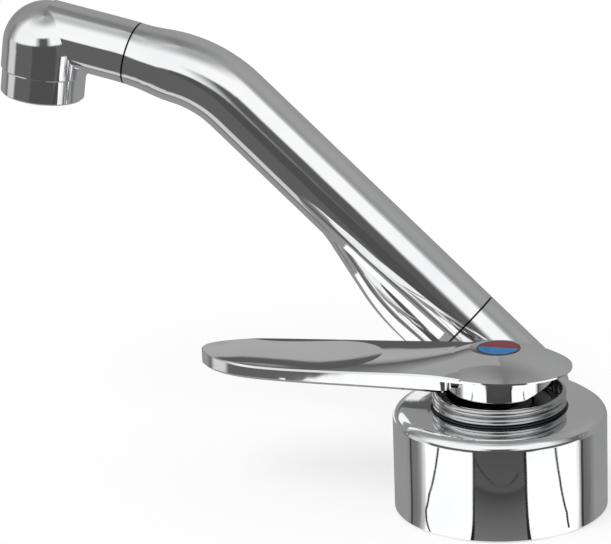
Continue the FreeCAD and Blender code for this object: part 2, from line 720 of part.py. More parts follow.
def lever_handle():
    body = lever_blade().fuse(lever_head()).fuse(disc(SKIRT_R, SKIRT_BOTTOM, LIP_Z))
    body = body.cut(thumb_rest())
    body = body.cut(ring(SKIRT_R - SKIRT_WALL, BOSS_R, SKIRT_BOTTOM, HEAD_ROOF_Z))
    body = body.cut(disc(BOSS_R, SKIRT_BOTTOM, BOSS_BOTTOM))
    body = body.cut(rear_relief())
    half = SPINDLE_SIDE / 2 + SEAT_GAP
    body = body.cut(box(-half, half, -half, half, SKIRT_BOTTOM, SPINDLE_TOP + SEAT_GAP))
    web_top = HEAD_TOP - MARK_T - PLUG_DEPTH - SCREW_HEAD_T - 0.2
    body = body.cut(disc(SCREW_R + SEAT_GAP, SPINDLE_TOP, web_top + 1))
    body = body.cut(disc(SCREW_HEAD_R + SEAT_GAP, web_top, HEAD_TOP))
    return body.cut(disc(MARK_R + SEAT_GAP, HEAD_TOP - MARK_T - PLUG_DEPTH, HEAD_TOP))


def lever_screw():
    seat = HEAD_TOP - MARK_T - PLUG_DEPTH - SCREW_HEAD_T - 0.2
    body = disc(SCREW_HEAD_R, seat, seat + SCREW_HEAD_T)
    return body.fuse(disc(SCREW_R, SPINDLE_TOP - SCREW_LENGTH + JOIN, seat))


def mark_plug():
    """Dark carrier of the red and blue halves, with a fine rim round them."""
    low = HEAD_TOP - MARK_T - PLUG_DEPTH
    body = disc(MARK_R, low, HEAD_TOP + MARK_RISE)
    return body.cut(disc(MARK_R - MARK_RIM, HEAD_TOP - MARK_T, HEAD_TOP + MARK_RISE))


def mark_half(side):
    radius = MARK_R - MARK_RIM
    low = HEAD_TOP - MARK_T
    body = disc(radius, low, HEAD_TOP + MARK_RISE)
    near, far = sorted((0, side * (radius + 1)))
    return body.common(box(-radius - 1, radius + 1, near, far, low, HEAD_TOP + 1))


# Swivelling base

def base_shell():
    body = disc(BASE_R, SHELL_LIFT, BASE_H)
    body = fillet_edges(body, SHELL_EDGE_R, lambda edge: is_circle(edge, BASE_R, BASE_H))
    lug_start = Vector(0, LUG_FACE_Y - LUG_DEPTH, HINGE_Z)
    body = body.fuse(cylinder(LUG_R, lug_start, ACROSS, LUG_DEPTH))
    body = body.cut(disc(SHELL_BORE_R, SHELL_LIFT, SHELL_CEILING))
    body = body.cut(disc(COLLAR_SLEEVE_R + TURN_GAP, SHELL_LIFT, BASE_H + LUG_R))
    seat_start = Vector(0, SPIGOT_START_Y, HINGE_Z)
    body = body.cut(cylinder(SPIGOT_R + SEAT_GAP, seat_start, ACROSS, LUG_DEPTH))
    feed_start = Vector(0, SPIGOT_START_Y - 2 * SPIGOT_WEB, HINGE_Z)
    return body.cut(cylinder(FEED_R, feed_start, ACROSS, 3 * SPIGOT_WEB))


def hinge_seal_places():
    return [HUB_NEAR_Y + HINGE_SEAL_INSET, HUB_FAR_Y - HINGE_SEAL_INSET]


def hinge_spigot():
    """Hollow pin that carries the arm and feeds it with water."""
    start = Vector(0, SPIGOT_START_Y, HINGE_Z)
    body = cylinder(SPIGOT_R, start, ACROSS, HUB_FAR_Y - start.y)
    bore_length = ARM_Y + CHAMBER_HALF_W - start.y
    body = body.cut(cylinder(SPIGOT_BORE_R, start, ACROSS, bore_length))
    for axis in (UP, OUTWARD):
        cross_start = HINGE - axis * (SPIGOT_R + 1)
        body = body.cut(cylinder(CROSS_PORT_R, cross_start, axis, 2 * SPIGOT_R + 2))
    stem_start = Vector(0, HUB_FAR_Y - CAP_STEM_LENGTH, HINGE_Z)
    body = body.cut(cylinder(CAP_STEM_R + SEAT_GAP, stem_start, ACROSS, CAP_STEM_LENGTH))
    half = HINGE_SEAL_SECTION_R + 0.1
    for place in hinge_seal_places():
        low = Vector(0, place - half, HINGE_Z)
        groove = cylinder(SPIGOT_R + 1, low, ACROSS, 2 * half)
        groove = groove.cut(cylinder(SPIGOT_R - 2 * half, low, ACROSS, 2 * half))
        body = body.cut(groove)
    return body


def hinge_seals():
    radius = SPIGOT_R - HINGE_SEAL_SECTION_R
    rings = []
    for place in hinge_seal_places():
        rings.append(seal_ring(Vector(0, place, HINGE_Z), ACROSS, radius, HINGE_SEAL_SECTION_R))
    return Part.makeCompound(rings)


def hinge_washer():
    start = Vector(0, LUG_FACE_Y, HINGE_Z)
    body = cylinder(LUG_R - 0.4, start, ACROSS, HINGE_WASHER_T)
    return body.cut(cylinder(SPIGOT_R + SEAT_GAP, start, ACROSS, HINGE_WASHER_T))


def hinge_cap():
    """Screwed cap at the far end, which keeps the arm on its spigot."""
    start = Vector(0, HUB_FAR_Y + FACE_GAP, HINGE_Z)
    body = cylinder(CAP_R, start, ACROSS, CAP_T)
    outer = [edge for edge in body.Edges if edge.Vertexes[0].Point.y > start.y + CAP_T / 2]
    body = body.makeChamfer(CAP_BEVEL, [edge for edge in outer if edge.isClosed()])
    stem_start = Vector(0, HUB_FAR_Y - CAP_STEM_LENGTH + JOIN, HINGE_Z)
    body = body.fuse(cylinder(CAP_STEM_R, stem_start, ACROSS, start.y - stem_start.y))
    socket_start = Vector(0, start.y + CAP_T - CAP_SOCKET_DEPTH, HINGE_Z)
    return body.cut(hexagon_bar(CAP_SOCKET_HALF, socket_start, CAP_T))


def hexagon_bar(flat_half, start, length):
    """Six-sided bar along +Y."""
    corner_r = 2 * flat_half / math.sqrt(3)
    corners = []
    for index in range(7):
        angle = math.radians(60 * index)
        offset = Vector(corner_r * math.cos(angle), 0, corner_r * math.sin(angle))
        corners.append(start + offset)
    return Part.Face(Part.makePolygon(corners)).extrude(ACROSS * length)


# Spout arm

def arm_point(along, drop=0.0):
    return HINGE + direction(ARM_RISE) * along + below(ARM_RISE) * drop


def spout_corner():
    return arm_point(CORNER_AT)


def spout_end():
    return spout_corner() + direction(LAST_RISE) * LAST_LENGTH


def seam_groove(circles, along):
    """Narrow V-shaped groove where two pieces meet; circles give the middle and radius of the outline."""
    start = circles[0][0] - along * SEAM_CHAMFER
    groove = cylinder(2 * circles[0][1], start, along, 2 * SEAM_CHAMFER)
    for middle, radius in circles:
        for way in (along, -along):
            groove = groove.cut(Part.makeCone(radius - SEAM_CHAMFER, radius, SEAM_CHAMFER, middle, way))
    return groove


def lower_seam_groove():
    circles = [(arm_point(SEAM_AT), TUBE_R), (arm_point(SEAM_AT, KEEL_DROP), KEEL_R)]
    return seam_groove(circles, direction(ARM_RISE))


def upper_seam_groove():
    return seam_groove([(spout_end(), END_R)], direction(LAST_RISE))


def taper_bar(start, end, start_r, end_r):
    """Round bar whose radius eases from one size to the other."""
    along = end - start
    curve = Part.BSplineCurve()
    points = [start + ACROSS * start_r, end + ACROSS * end_r]
    curve.interpolate(Points=points, InitialTangent=along, FinalTangent=along)
    corners = [points[1], end, start, points[0]]
    edges = [Part.makeLine(a, b) for a, b in zip(corners, corners[1:])]
    return Part.Face(Part.Wire([curve.toShape()] + edges)).revolve(start, along, 360)


def arm_knuckle():
    """Hollow hub that turns on the spigot and takes the spout tube."""
    along = direction(ARM_RISE)
    seam = arm_point(SEAM_AT)
    body = round_ended_bar(TUBE_R, HINGE, along, SEAM_AT)
    keel_end = arm_point(SEAM_AT - KEEL_FOOT, KEEL_DROP)
    body = body.fuse(round_ended_bar(KEEL_R, keel_end, along, KEEL_FOOT))
    to_hub = HINGE - keel_end
    body = body.fuse(cylinder(KEEL_R, keel_end, to_hub, to_hub.Length))
    hub_start = Vector(0, HUB_NEAR_Y, HINGE_Z)
    body = body.fuse(cylinder(HUB_R, hub_start, ACROSS, HUB_FAR_Y - HUB_NEAR_Y))
    body = body.cut(lower_seam_groove())
    tenon_r = TUBE_BORE_R - SEAT_GAP
    body = body.fuse(cylinder(tenon_r, seam, along, TENON_LENGTH))
    gallery_r = tenon_r - TENON_WALL
    body = body.cut(cylinder(gallery_r, arm_point(CHAMBER_R), along, SEAM_AT + TENON_LENGTH))
    body = body.cut(cylinder(CHAMBER_HALF_W, HINGE, along, CHAMBER_R + 1))
    body = body.cut(cylinder(SPIGOT_R + TURN_GAP, hub_start, ACROSS, HUB_FAR_Y - HUB_NEAR_Y))
    chamber_start = Vector(0, ARM_Y - CHAMBER_HALF_W, HINGE_Z)
    return body.cut(cylinder(CHAMBER_R, chamber_start, ACROSS, 2 * CHAMBER_HALF_W))


def spout_tube():
    """Bent chrome tube with a keel that swells from its underside."""
    seam = arm_point(SEAM_AT)
    turn = math.radians(ARM_RISE - LAST_RISE)
    reach = BEND_R * math.tan(turn / 2)
    bend_end = spout_corner() + direction(LAST_RISE) * reach
    body = round_bar([seam, spout_corner(), bend_end + direction(LAST_RISE)], BEND_R, TUBE_R)
    taper_end = spout_end() - direction(LAST_RISE) * END_STRAIGHT
    body = body.fuse(taper_bar(bend_end + direction(LAST_RISE), taper_end, TUBE_R, END_R))
    body = body.fuse(cylinder(END_R, taper_end, direction(LAST_RISE), END_STRAIGHT))
    hidden_drop = TUBE_R - KEEL_R - KEEL_SINK
    eased = SEAM_AT + KEEL_FLAT + KEEL_EASE
    keel = round_bar([
        arm_point(SEAM_AT, KEEL_DROP),
        arm_point(SEAM_AT + KEEL_FLAT, KEEL_DROP),
        arm_point(eased, hidden_drop),
        arm_point(eased + KEEL_EASE / 2, hidden_drop),
    ], KEEL_EASE_R, KEEL_R)
    body = body.fuse(keel)
    bore = round_bar([seam, spout_corner(), spout_end()], BEND_R, TUBE_BORE_R)
    return body.cut(bore).cut(lower_seam_groove()).cut(upper_seam_groove())


def seam_seals():
    """Rubber rings in the two sleeve joints of the spout."""
    reach = TENON_LENGTH + SEAM_SEAL_SECTION_R
    lower = arm_point(SEAM_AT + reach)
    upper = spout_end() - direction(LAST_RISE) * reach
    radius = TUBE_BORE_R - SEAM_SEAL_SECTION_R - SEAT_GAP
    return Part.makeCompound([
        seal_ring(lower, direction(ARM_RISE), radius, SEAM_SEAL_SECTION_R),
        seal_ring(upper, direction(LAST_RISE), radius, SEAM_SEAL_SECTION_R),
    ])


def outlet_centre():
    along = direction(ELBOW_RISE)
    return spout_end() + along * OUTLET_REACH + below(ELBOW_RISE) * OUTLET_DROP


def nozzle_axis():
    lean = math.radians(NOZZLE_LEAN)
    return Vector(-math.sin(lean), 0, -math.cos(lean))


def elbow_corner():
    """Where the elbow's tube eases from the arm's slope to its own."""
    return spout_end() + direction(LAST_RISE) * ELBOW_BEND_AT


def outlet_elbow():
    start = spout_end()
    centre = outlet_centre()
    nozzle = nozzle_axis()
    tube_end = elbow_corner() + direction(ELBOW_RISE) * (OUTLET_REACH - ELBOW_BEND_AT)
    body = round_bar([start, elbow_corner(), tube_end], ELBOW_BEND_R, END_R)
    body = body.fuse(round_ended_bar(OUTLET_R, centre, nozzle, NOZZLE_LENGTH))
    body = body.cut(upper_seam_groove())
    tenon_r = TUBE_BORE_R - SEAT_GAP
    tenon_start = start - direction(LAST_RISE) * TENON_LENGTH
    body = body.fuse(cylinder(tenon_r, tenon_start, direction(LAST_RISE), TENON_LENGTH + ELBOW_BEND_AT / 2))
    bore = round_bar([tenon_start, elbow_corner(), tube_end], ELBOW_BEND_R, tenon_r - TENON_WALL)
    body = body.cut(bore)
    floor = centre - nozzle * NOZZLE_FLOOR
    return body.cut(cylinder(NOZZLE_BORE_R, floor, nozzle, NOZZLE_LENGTH + NOZZLE_FLOOR))


def nozzle_point(along):
    return outlet_centre() + nozzle_axis() * along


def aerator_ring():
    nozzle = nozzle_axis()
    visible_start = nozzle_point(NOZZLE_LENGTH)
    thread_start = nozzle_point(NOZZLE_LENGTH - RING_THREAD_LENGTH)
    body = cylinder(RING_R, visible_start, nozzle, RING_LENGTH)
    body = body.makeChamfer(RING_BEVEL, [edge for edge in body.Edges if edge.isClosed()])
    body = body.fuse(cylinder(NOZZLE_BORE_R - SEAT_GAP, thread_start, nozzle, RING_THREAD_LENGTH + 1))
    return body.cut(cylinder(RING_BORE_R, thread_start, nozzle, RING_THREAD_LENGTH + RING_LENGTH))


def aerator_washer():
    start = nozzle_point(NOZZLE_LENGTH - RING_THREAD_LENGTH - AERATOR_WASHER_T)
    body = cylinder(NOZZLE_BORE_R - 0.2, start, nozzle_axis(), AERATOR_WASHER_T)
    return body.cut(cylinder(RING_BORE_R - SCREEN_RIM, start, nozzle_axis(), AERATOR_WASHER_T))


def screen_hole_places():
    """Holes on rings round the screen's middle, as (across, outwards) offsets."""
    places = [(0.0, 0.0)]
    pitch = (RING_BORE_R - SCREEN_HOLE_R - SCREEN_RIM) / SCREEN_RINGS
    for index in range(1, SCREEN_RINGS + 1):
        count = 6 * index
        for step in range(count):
            angle = 2 * math.pi * step / count
            places.append((pitch * index * math.cos(angle), pitch * index * math.sin(angle)))
    return places


def aerator_screen():
    nozzle = nozzle_axis()
    start = nozzle_point(NOZZLE_LENGTH + RING_LENGTH - SCREEN_RECESS - SCREEN_T)
    body = cylinder(RING_BORE_R - SEAT_GAP, start, nozzle, SCREEN_T)
    outward = nozzle.cross(ACROSS)
    holes = []
    for across, out in screen_hole_places():
        place = start + ACROSS * across + outward * out
        holes.append(cylinder(SCREEN_HOLE_R, place, nozzle, SCREEN_T))
    return body.cut(Part.makeCompound(holes))


PARTS = {
    "base_gasket": base_gasket,
    "threaded_shank": threaded_shank,
    "rubber_washer": rubber_washer,
    "steel_washer": steel_washer,
    "fixing_nut": fixing_nut,
    "valve_core": valve_core,
    "gallery_plug": gallery_plug,
    "core_seals": core_seals,
    "lower_slide_ring": lower_slide_ring,
    "upper_slide_ring": upper_slide_ring,
    "collar": collar,
    "port_seals": port_seals,
    "cartridge_base": cartridge_base,
    "cartridge_housing": cartridge_housing,
    "fixed_ceramic_disc": fixed_ceramic_disc,
    "cartridge_nut": cartridge_nut,
    "moving_ceramic_disc": moving_ceramic_disc,
    "disc_carrier": disc_carrier,
    "rotor": rotor,
    "pivot_pin": pivot_pin,
    "spindle": spindle,
    "lever_handle": lever_handle,
    "lever_screw": lever_screw,
    "mark_plug": mark_plug,
    "mark_red": lambda: mark_half(1),
    "mark_blue": lambda: mark_half(-1),
    "base_shell": base_shell,
    "hinge_spigot": hinge_spigot,
    "hinge_seals": hinge_seals,
    "hinge_washer": hinge_washer,
    "hinge_cap": hinge_cap,
    "arm_knuckle": arm_knuckle,
    "spout_tube": spout_tube,
    "seam_seals": seam_seals,
    "outlet_elbow": outlet_elbow,
    "aerator_ring": aerator_ring,
    "aerator_washer": aerator_washer,
    "aerator_screen": aerator_screen,
}

os.makedirs("parts", exist_ok=True)
for name, make in PARTS.items():
    shape = make()
    print(name, "solids", len(shape.Solids), "valid", shape.isValid(), "cm3 %.2f" % (shape.Volume / 1000))
    shape.exportStep(os.path.join("parts", name + ".step"))
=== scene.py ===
"""Looks of a chrome mixer tap with a fold-down spout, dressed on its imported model.

Lengths are in metres, in the frame of the model: the worktop is the plane z = 0, the base stands
on the z axis, the lever points along -x and the spout's hinge is on the +y side of the base.
A brightness of 1 is plain white.
"""

import math

import bpy
from mathutils import Matrix, Vector


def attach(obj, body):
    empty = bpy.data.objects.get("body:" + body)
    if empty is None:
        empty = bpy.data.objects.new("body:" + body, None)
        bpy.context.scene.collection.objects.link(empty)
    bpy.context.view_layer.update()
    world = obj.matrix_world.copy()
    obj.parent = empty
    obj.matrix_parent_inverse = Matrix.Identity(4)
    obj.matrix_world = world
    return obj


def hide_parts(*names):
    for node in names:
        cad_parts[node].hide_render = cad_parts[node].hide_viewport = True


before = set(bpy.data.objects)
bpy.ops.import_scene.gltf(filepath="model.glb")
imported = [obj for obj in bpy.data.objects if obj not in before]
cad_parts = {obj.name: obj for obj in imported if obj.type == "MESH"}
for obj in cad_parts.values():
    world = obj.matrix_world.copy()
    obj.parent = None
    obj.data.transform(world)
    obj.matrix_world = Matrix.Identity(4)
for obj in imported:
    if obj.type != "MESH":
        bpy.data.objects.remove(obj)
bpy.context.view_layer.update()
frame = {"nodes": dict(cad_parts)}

# Picture and camera
PICTURE_WIDTH = 611
PICTURE_HEIGHT = 544
FOCAL_PIXELS = 3000
SENSOR_WIDTH = 36
CAMERA_DISTANCE = 0.8437
CAMERA_TURN = math.radians(18)
CAMERA_PITCH = math.radians(17.44)
CAMERA_ROLL = math.radians(-2.1)
NEAREST_SEEN = 0.01
FARTHEST_SEEN = 50
AIM_POINT = Vector((0, 0, 0.015))
AIM_PIXEL = (500.3, 452.6)

# The line of sight to the base, which is off the middle of the picture
SIGHT_TURN = CAMERA_TURN - math.atan((AIM_PIXEL[0] - PICTURE_WIDTH / 2) / FOCAL_PIXELS)

# Floor and light
FLOOR_HALF = 4
FLOOR_SHADOW = 0.35
WORLD_PLAIN = 0.65
SUN_ANGLE = math.radians(40)
SUN_TILT = math.radians(35)
SUN_TURN = math.radians(-30)
SUN_STRENGTH = (1 - WORLD_PLAIN) * math.pi / math.cos(SUN_TILT)

# Surroundings that the chrome mirrors: brightness by the angle round the tap, in degrees from the
# camera's side, negative to its left
GROUND_RING = [
    (-180, 0.30), (-124, 0.30), (-112, 0.14), (-105, 0.65), (-86, 0.65), (-80, 0.12), (-36, 0.12),
    (-33, 0.08), (27, 0.08), (31, 0.12), (90, 0.14), (104, 0.30), (180, 0.30),
]
LOW_RING = [
    (-180, 0.30), (-150, 0.26), (-124, 0.28), (-112, 0.20), (-100, 0.45), (-86, 0.95), (-27, 1.00),
    (-12, 0.10), (5, 0.10), (18, 1.00), (50, 0.95), (66, 0.50), (78, 0.14), (92, 0.14),
    (104, 0.32), (180, 0.32),
]
HIGH_RING = [
    (-180, 0.30), (-150, 0.28), (-124, 0.30), (-112, 0.30), (-100, 0.50), (-86, 0.95), (0, 1.00),
    (55, 1.00), (66, 0.50), (78, 0.30), (104, 0.36), (180, 0.32),
]
CEILING_RING = [
    (-180, 0.20), (-120, 0.36), (-60, 0.60), (0, 0.40), (60, 0.40), (120, 0.28), (180, 0.20),
]

# Heights over the horizon, in degrees, between which each ring gives way to the next
RING_STEPS = [(4, 9), (24, 30), (48, 74)]

# The paper on the worktop that the base mirrors, seen by reflections alone: how far from the wall
# its foot, its top and the edge above it see the paper
WALL_R = 0.030
WALL_TOP_REACH = 0.092
PAPER_REACH = (0, WALL_TOP_REACH, 0.125)
PAPER_LIFT = 0.0003
BAND_LIFT = 1.5 * PAPER_LIFT
FOLD_LIFT = 2 * PAPER_LIFT

# The paper's brightness by the angle on the wall from the camera's side, in degrees, at those reaches
PAPER_BANDS = [
    ((-90, -90, -90), 0.30), ((-62, -62, -62), 0.30), ((-57.5, -57.5, -57.5), 0.24),
    ((-56.8, -56.8, -56.8), 0.05), ((-55.8, -55.8, -55.8), 0.05), ((-55.0, -55.0, -55.0), 0.17),
    ((-51, -50, -50), 0.20), ((-47, -46.5, -46), 0.50), ((-44, -43.5, -43), 1.08),
    ((-17.0, -15.0, -22), 1.08), ((-16.7, -14.7, -21.7), 0.01), ((-15.4, -13.6, -20.5), 0.02),
    ((-14.8, -13.2, -20), 0.07), ((13.6, 11.4, 17.5), 0.07), ((14.6, 12.4, 18.5), 0.02),
    ((15.7, 13.5, 19.7), 0.01), ((16.0, 13.8, 20), 1.08), ((43, 43.5, 43), 1.08),
    ((46, 46.5, 46), 0.60), ((47.4, 47.6, 47), 0.25), ((47.8, 48.0, 47.4), 0.04),
    ((49.0, 49.2, 48.6), 0.04), ((49.6, 49.8, 49.2), 0.14), ((57, 57, 57), 0.24),
    ((60, 60, 60), 0.30), ((90, 90, 90), 0.30),
]

# The dark middle band again: the angles of its two sides at the wall's foot and top, and its
# brightness by the share of the wall's height
BAND_SIDES = [(-14.6, -13.1), (13.6, 11.4)]
BAND_SHADES = [(0, 0.17), (0.25, 0.11), (0.43, 0.055), (0.47, 0.095), (0.8, 0.08), (1.0, 0.05)]

# Folds in the paper: the angle on the wall and the share of its height along the line, then the
# brightness, and half the width in degrees
FOLDS = {
    "left_fold": ([
        (-41.0, 0), (-43.8, 0.085), (-44.1, 0.16), (-41.5, 0.30), (-38.0, 0.46), (-35.2, 0.69),
        (-33.8, 0.885), (-31.7, 0.97)], 0.02, 0.65),
    "right_fold": ([
        (38.2, 0.03), (37.0, 0.16), (34.9, 0.27), (32.6, 0.455), (30.4, 0.70), (29.4, 0.85),
        (27.7, 0.99)], 0.02, 0.65),
    "arc_line": ([
        (-13.5, 0.66), (-11, 0.58), (-7, 0.50), (-3, 0.455), (1, 0.44), (5, 0.47),
        (9.5, 0.55)], 0.012, 0.35),
}

# A pale card under the arm that its keel mirrors
KEEL_CARD_X = (-0.040, -0.094)
KEEL_CARD_Y = (0.016, 0.046)
KEEL_CARD_Z = 0.020
KEEL_CARD_SHADE = 1.05

# An upright card behind the lever that its blade mirrors: its brightness by height
LEVER_SCREEN_X = (-0.008, -0.120)
LEVER_SCREEN_Y = 0.0245
LEVER_SCREEN_SHADES = [
    (0.0385, 0.10), (0.0458, 0.10), (0.0470, 0.40), (0.0520, 0.42), (0.0545, 0.30), (0.0562, 0.10),
    (0.0600, 0.20), (0.0700, 0.36), (0.1200, 0.36),
]

# The shell's upper edge, and the angles off the hinge lug between which it grows rounder
EDGE_R = 0.0012
EDGE_GROWTH = 2.35
SHELL_R = 0.030
SHELL_TOP = 0.029
LUG_CLEAR = (math.radians(18), math.radians(50))
TOLERANCE = 1e-5

# The collar: two rounded bands outside, by their lower and upper edge, and a stepped bore
COLLAR_SIDES = 128
COLLAR_WAIST = 0.0179
COLLAR_BANDS = [(0.0295, 0.0317), (0.0319, 0.0341)]
COLLAR_INSIDE = [
    (0.0177, 0.0341), (0.0177, 0.0310), (0.01625, 0.0310), (0.01625, 0.0264), (0.0176, 0.0264),
    (0.0176, 0.0295),
]
BAND_STEPS = 10
BAND_BULGE = 0.0009
SHARP_ANGLE = math.radians(40)

# Painted shade in hollows, as a radius and two heights, and dark seams, as a point and the direction
# across them; both take the colour down to this dark grey
GRIME_AND_SHADE = (0.012, 0.012, 0.013)
SOFT_EDGE = 0.0001
# Painted shade: the collar's bore, the shell's top round the collar, the inside of the lever's skirt
# and the valve core's neck, darkened as if in shadow
COLLAR_PAINTED_SHADE = (0.01772, 0.0305, 0.0334)
SHELL_PAINTED_SHADE = (0.0193, 0.0280, 0.0295)
LEVER_PAINTED_SHADE = (0.01330, 0.0300, 0.0402)
CORE_PAINTED_SHADE = (0.0200, 0.0290, 0.0450)
ARM_RISE = math.radians(43)
LAST_RISE = math.radians(15)
LOWER_SEAM = ((-0.01982, 0.0412, 0.03888), (-math.cos(ARM_RISE), 0, math.sin(ARM_RISE)))
UPPER_SEAM = ((-0.11988, 0.0412, 0.11595), (-math.cos(LAST_RISE), 0, math.sin(LAST_RISE)))
SEAM_HALF_W = 0.00034
SEAM_CORE = 0.6

# Chrome plate, with its colour between two, its waves and the rims of dried water spots
BRIGHT_PLATE = ((0.90, 0.905, 0.915), (0.95, 0.953, 0.958))
# The collar's plate is painted darker, as painted shade for the dark surroundings it mirrors
SHADED_COLLAR_PLATE = ((0.42, 0.425, 0.43), (0.62, 0.625, 0.63))
PLATE_ROUGHNESS = (0.035, 0.085)
PLATE_WAVE = 0.00008
SPOT_SCALE = 420
SPOT_ROUGHNESS = 0.03
SPOT_RIM = (0.10, 0.16)
WIPE_STRETCH = (1, 1, 0.25)

# Bare metals: the colour between two, and the roughness, which tool marks vary by these shares
BRASS = ((0.62, 0.45, 0.22), (0.72, 0.56, 0.31), 0.28)
STEEL = ((0.52, 0.52, 0.53), (0.62, 0.62, 0.62), 0.25)
TOOL_MARK_SHARES = (0.8, 1.3)
TOOL_MARK_STRETCH = (0.15, 0.15, 3)
TOOL_MARK_DEPTH = 0.00002

# Moulded slots: the material's name, the colour between two, the roughness, which the grain varies
# by these shares, and the grain's scale and depth
GRAIN_SHARES = (0.85, 1.15)
MOULDED = {
    "rubber_black": ("black_rubber", (0.022, 0.022, 0.023), (0.035, 0.035, 0.036), 0.6, 1800, 2e-5),
    "plastic_white": ("white_plastic", (0.76, 0.76, 0.74), (0.82, 0.82, 0.80), 0.42, 1400, 1e-5),
    "plastic_grey": ("grey_plastic", (0.17, 0.175, 0.185), (0.20, 0.205, 0.215), 0.42, 1400, 1e-5),
    "plastic_dark": ("dark_plastic", (0.030, 0.032, 0.038), (0.042, 0.044, 0.050), 0.3, 1400, 1e-5),
    "ceramic_white": ("white_ceramic", (0.80, 0.79, 0.76), (0.86, 0.85, 0.82), 0.2, 2500, 5e-6),
}

# Enamel, with a soft gloss
RED = ((0.17, 0.030, 0.042), (0.21, 0.040, 0.052))
BLUE = ((0.020, 0.15, 0.38), (0.030, 0.19, 0.44))
ENAMEL_GLOSS = 0.15
ENAMEL_ROUGHNESS = (0.22, 0.30)
PEEL_DEPTH = 1e-5


def add_object(name, data):
    """Puts an object in the scene with its mesh, lamp or camera."""
    made = bpy.data.objects.new(name, data)
    bpy.context.scene.collection.objects.link(made)
    return made


def add_node(tree, kind, inputs=None, **settings):
    """Adds a shader node, with its settings, and its inputs as values or as links."""
    node = tree.nodes.new(kind)
    for name, value in settings.items():
        setattr(node, name, value)
    for name, value in (inputs or {}).items():
        if isinstance(value, bpy.types.NodeSocket):
            tree.links.new(value, node.inputs[name])
        else:
            node.inputs[name].default_value = value
    return node


def arithmetic(tree, operation, *values):
    """The result of a Math node for values or links."""
    inputs = dict(enumerate(values))
    return add_node(tree, "ShaderNodeMath", inputs, operation=operation).outputs[0]


def blend(tree, factor, first, second):
    """A number between two, by a factor."""
    inputs = {"Factor": factor, "A": first, "B": second}
    return add_node(tree, "ShaderNodeMix", inputs, data_type="FLOAT").outputs["Result"]


def blend_colours(tree, factor, first, second):
    """A colour between two, by a factor."""
    inputs = {"Factor": factor, "A": first, "B": second}
    return add_node(tree, "ShaderNodeMix", inputs, data_type="RGBA").outputs["Result"]


def spread(tree, value, low, high, start=0.3, end=0.7, **settings):
    """Takes a value that runs from start to end to low to high."""
    made = add_node(tree, "ShaderNodeMapRange", {
        "Value": value, "From Min": start, "From Max": end, "To Min": low, "To Max": high},
                    **settings)
    return made.outputs[0]


def grey_ramp(tree, factor, stops):
    """A ramp of greys along a factor from 0 to 1, from (place, brightness) stops."""
    ramp = add_node(tree, "ShaderNodeValToRGB", {"Fac": factor})
    elements = ramp.color_ramp.elements
    while len(elements) < len(stops):
        elements.new(0.5)
    for element, (place, brightness) in zip(elements, stops):
        element.position = place
        element.color = (brightness, brightness, brightness, 1)
    return ramp.outputs["Color"]


# Camera and light

def make_camera():
    """Puts the camera where the picture was taken from."""
    level = Vector((-math.sin(CAMERA_TURN), math.cos(CAMERA_TURN), 0))
    ahead = level * math.cos(CAMERA_PITCH) - Vector((0, 0, math.sin(CAMERA_PITCH)))
    right = ahead.cross(Vector((0, 0, 1))).normalized()
    up = right.cross(ahead)
    tilted_right = right * math.cos(CAMERA_ROLL) + up * math.sin(CAMERA_ROLL)
    tilted_up = up * math.cos(CAMERA_ROLL) - right * math.sin(CAMERA_ROLL)
    scale = CAMERA_DISTANCE / FOCAL_PIXELS
    across = (AIM_PIXEL[0] - PICTURE_WIDTH / 2) * scale
    down = (AIM_PIXEL[1] - PICTURE_HEIGHT / 2) * scale
    place = AIM_POINT - ahead * CAMERA_DISTANCE - tilted_right * across + tilted_up * down
    data = bpy.data.cameras.new("camera")
    data.sensor_width = SENSOR_WIDTH
    data.lens = FOCAL_PIXELS / PICTURE_WIDTH * SENSOR_WIDTH
    data.clip_start = NEAREST_SEEN
    data.clip_end = FARTHEST_SEEN
    camera = add_object("camera", data)
    turned = Matrix((tilted_right, tilted_up, -ahead)).transposed()
    camera.matrix_world = Matrix.Translation(place) @ turned.to_4x4()
    bpy.context.scene.camera = camera


def share_of_turn(tree, parts):
    """The angle of a direction round the tap, from 0 to 1, with the camera's side at the middle."""
    turn = arithmetic(tree, "ARCTAN2", parts["Y"], parts["X"])
    from_camera = arithmetic(tree, "SUBTRACT", turn, CAMERA_TURN - math.pi / 2)
    wrapped = arithmetic(tree, "WRAP", from_camera, math.pi, -math.pi)
    return spread(tree, wrapped, 0, 1, -math.pi, math.pi)


def mirrored_light(tree):
    """What the chrome mirrors in each direction: the rings, blended from one to the next by height."""
    direction = add_node(tree, "ShaderNodeTexCoord").outputs["Generated"]
    parts = add_node(tree, "ShaderNodeSeparateXYZ", {"Vector": direction}).outputs
    share = share_of_turn(tree, parts)
    height = arithmetic(tree, "ARCSINE", parts["Z"])
    rings = []
    for ring in (GROUND_RING, LOW_RING, HIGH_RING, CEILING_RING):
        stops = [((degrees + 180) / 360, brightness) for degrees, brightness in ring]
        rings.append(grey_ramp(tree, share, stops))
    seen = rings[0]
    for upper, (start, end) in zip(rings[1:], RING_STEPS):
        rise = spread(tree, height, 0, 1, math.radians(start), math.radians(end),
                      interpolation_type="SMOOTHSTEP")
        seen = blend(tree, rise, seen, upper)
    return seen


def make_surroundings():
    """Lights the scene plainly, shows white to the camera, and lets the chrome mirror the rings."""
    world = bpy.data.worlds.new("studio")
    bpy.context.scene.world = world
    world.use_nodes = True
    tree = world.node_tree
    rays = add_node(tree, "ShaderNodeLightPath").outputs
    lit = blend(tree, rays["Is Glossy Ray"], WORLD_PLAIN, mirrored_light(tree))
    shown = blend(tree, rays["Is Camera Ray"], lit, 1.0)
    tree.links.new(shown, tree.nodes["Background"].inputs["Strength"])
    tree.nodes["Background"].inputs["Color"].default_value = (1, 1, 1, 1)


